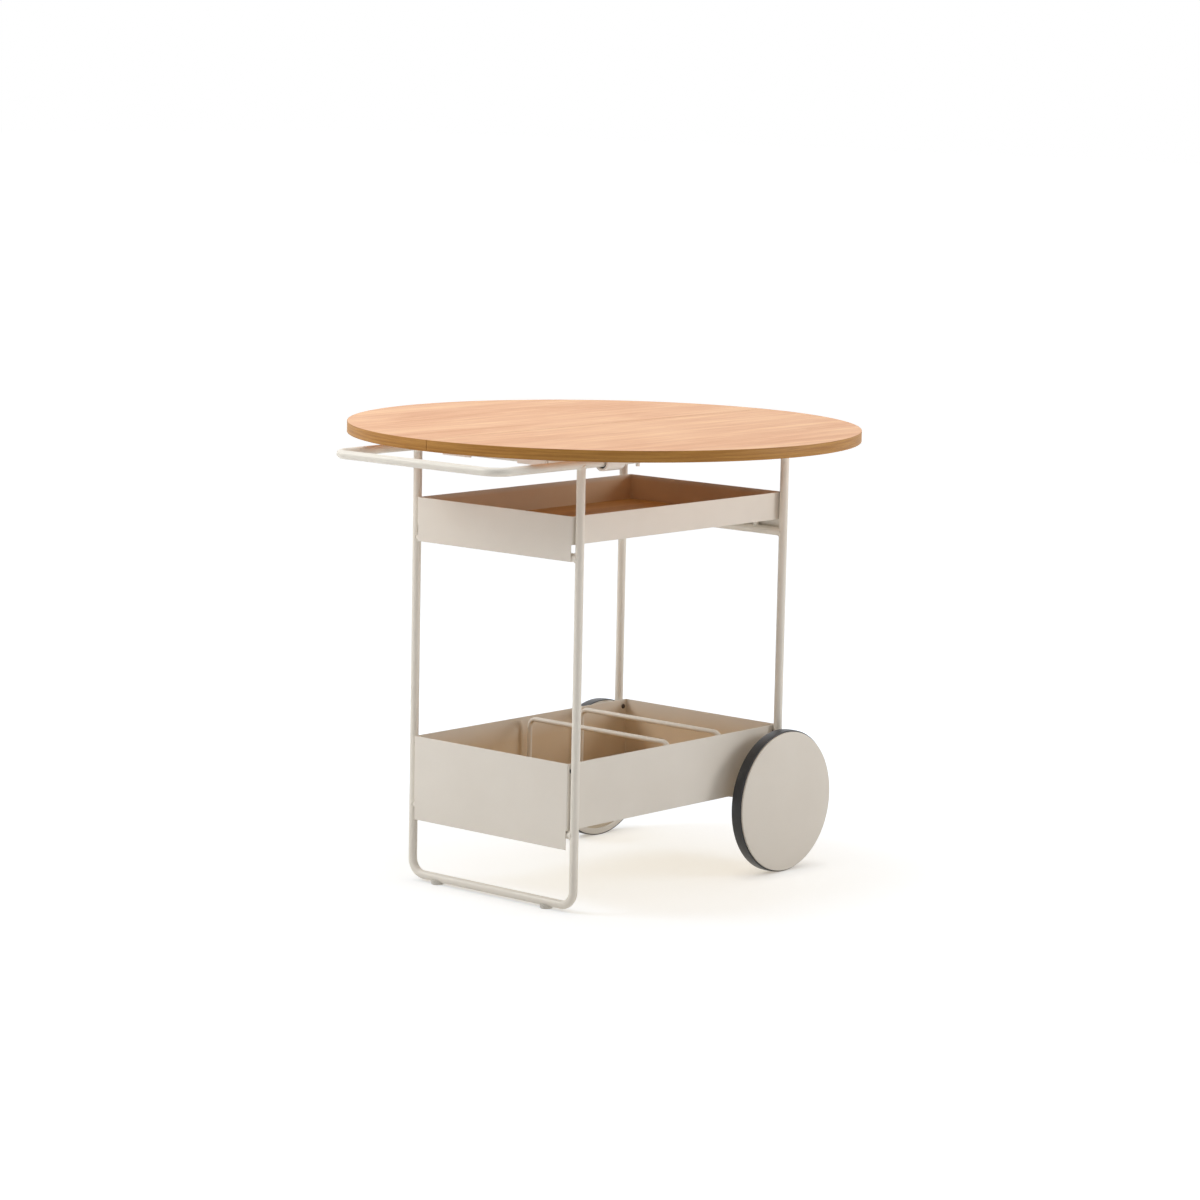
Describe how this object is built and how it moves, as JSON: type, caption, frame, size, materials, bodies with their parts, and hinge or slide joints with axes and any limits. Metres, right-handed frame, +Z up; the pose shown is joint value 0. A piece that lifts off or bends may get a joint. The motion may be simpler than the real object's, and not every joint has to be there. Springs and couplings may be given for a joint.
{
  "type": "serving cart",
  "caption": "Serving cart with a round wooden top in two leaves that tilt down over the side rails, folded sheet trays, a tube frame with push handle, and disc wheels",
  "frame": {"origin": "on the floor, under the middle of the cart's overall length and width", "axes": "+X along the cart away from the handle, +Y across it to the far side, +Z up"},
  "size_m": [0.864, 0.8298, 0.74],
  "materials": {
    "frame_paint": "fine matt powder coat, warm off-white",
    "tray_paint": "fine matt powder coat, warm off-white",
    "wheel_paint": "smooth matt powder coat, warm off-white",
    "wheel_board": "painted board core, satin warm off-white",
    "oak_top": "satin lacquered light oak veneer, grain along the seam",
    "oak_panel": "satin lacquered oak veneer",
    "oak_edge": "lacquered oak edge band",
    "tyre_rubber": "smooth matt rubber",
    "black_plastic": "matt",
    "black_steel": "black oxide, satin",
    "white_plastic": "smooth satin",
    "glide_plastic": "light grey, satin",
    "zinc_steel": "zinc plated, satin"
  },
  "bodies": {
    "root": {"handle_frame": "frame_paint", "front_legs": "frame_paint", "front_top_crossbar": "frame_paint", "rear_top_crossbar": "frame_paint", "front_upper_crossbar": "frame_paint", "rear_upper_crossbar": "frame_paint", "front_lower_crossbar": "frame_paint", "rear_lower_crossbar": "frame_paint", "glides": "glide_plastic", "rear_leg_plugs": "white_plastic", "stop_pegs": "white_plastic", "upper_tray": "tray_paint", "upper_tray_floor_panel": "oak_panel", "upper_tray_spacers": "frame_paint", "upper_tray_screws": "zinc_steel", "lower_tray": "tray_paint", "lower_tray_floor_panel": "oak_panel", "lower_tray_bolts": "black_steel", "lower_tray_washers": "black_plastic", "front_divider": "frame_paint", "rear_divider": "frame_paint", "divider_screws": "zinc_steel", "axle_plates": "frame_paint", "axle_tube": "frame_paint", "axle": "zinc_steel", "axle_washers": "zinc_steel", "axle_retaining_rings": "zinc_steel"},
    "near_leaf": {"near_leaf_board": "oak_top", "near_leaf_edge_band": "oak_edge", "near_leaf_sleeves": "white_plastic", "near_leaf_bushes": "black_plastic", "near_leaf_sleeve_screws": "zinc_steel", "near_leaf_clips": "white_plastic", "near_leaf_clip_screws": "zinc_steel"},
    "far_leaf": {"far_leaf_board": "oak_top", "far_leaf_edge_band": "oak_edge", "far_leaf_sleeves": "white_plastic", "far_leaf_bushes": "black_plastic", "far_leaf_sleeve_screws": "zinc_steel", "far_leaf_clips": "white_plastic", "far_leaf_clip_screws": "zinc_steel"},
    "near_wheel": {"near_wheel_core": "wheel_board", "near_wheel_tyre": "tyre_rubber", "near_wheel_outer_disc": "wheel_paint", "near_wheel_inner_ring": "wheel_paint", "near_wheel_hub_bush": "black_plastic"},
    "far_wheel": {"far_wheel_core": "wheel_board", "far_wheel_tyre": "tyre_rubber", "far_wheel_outer_disc": "wheel_paint", "far_wheel_inner_ring": "wheel_paint", "far_wheel_hub_bush": "black_plastic"}
  },
  "joints": [
    {"name": "near_leaf_tilt", "type": "hinge", "parent": "root", "child": "near_leaf", "pos_m": [0.017, -0.174, 0.706], "axis": [1, 0, 0], "range_deg": [0, 90]},
    {"name": "far_leaf_tilt", "type": "hinge", "parent": "root", "child": "far_leaf", "pos_m": [0.017, 0.174, 0.706], "axis": [-1, 0, 0], "range_deg": [0, 90]},
    {"name": "near_wheel_spin", "type": "hinge", "parent": "root", "child": "near_wheel", "pos_m": [0.248, -0.20275, 0.118], "axis": [0, 1, 0], "continuous": true},
    {"name": "far_wheel_spin", "type": "hinge", "parent": "root", "child": "far_wheel", "pos_m": [0.248, 0.20275, 0.118], "axis": [0, 1, 0], "continuous": true}
  ]
}
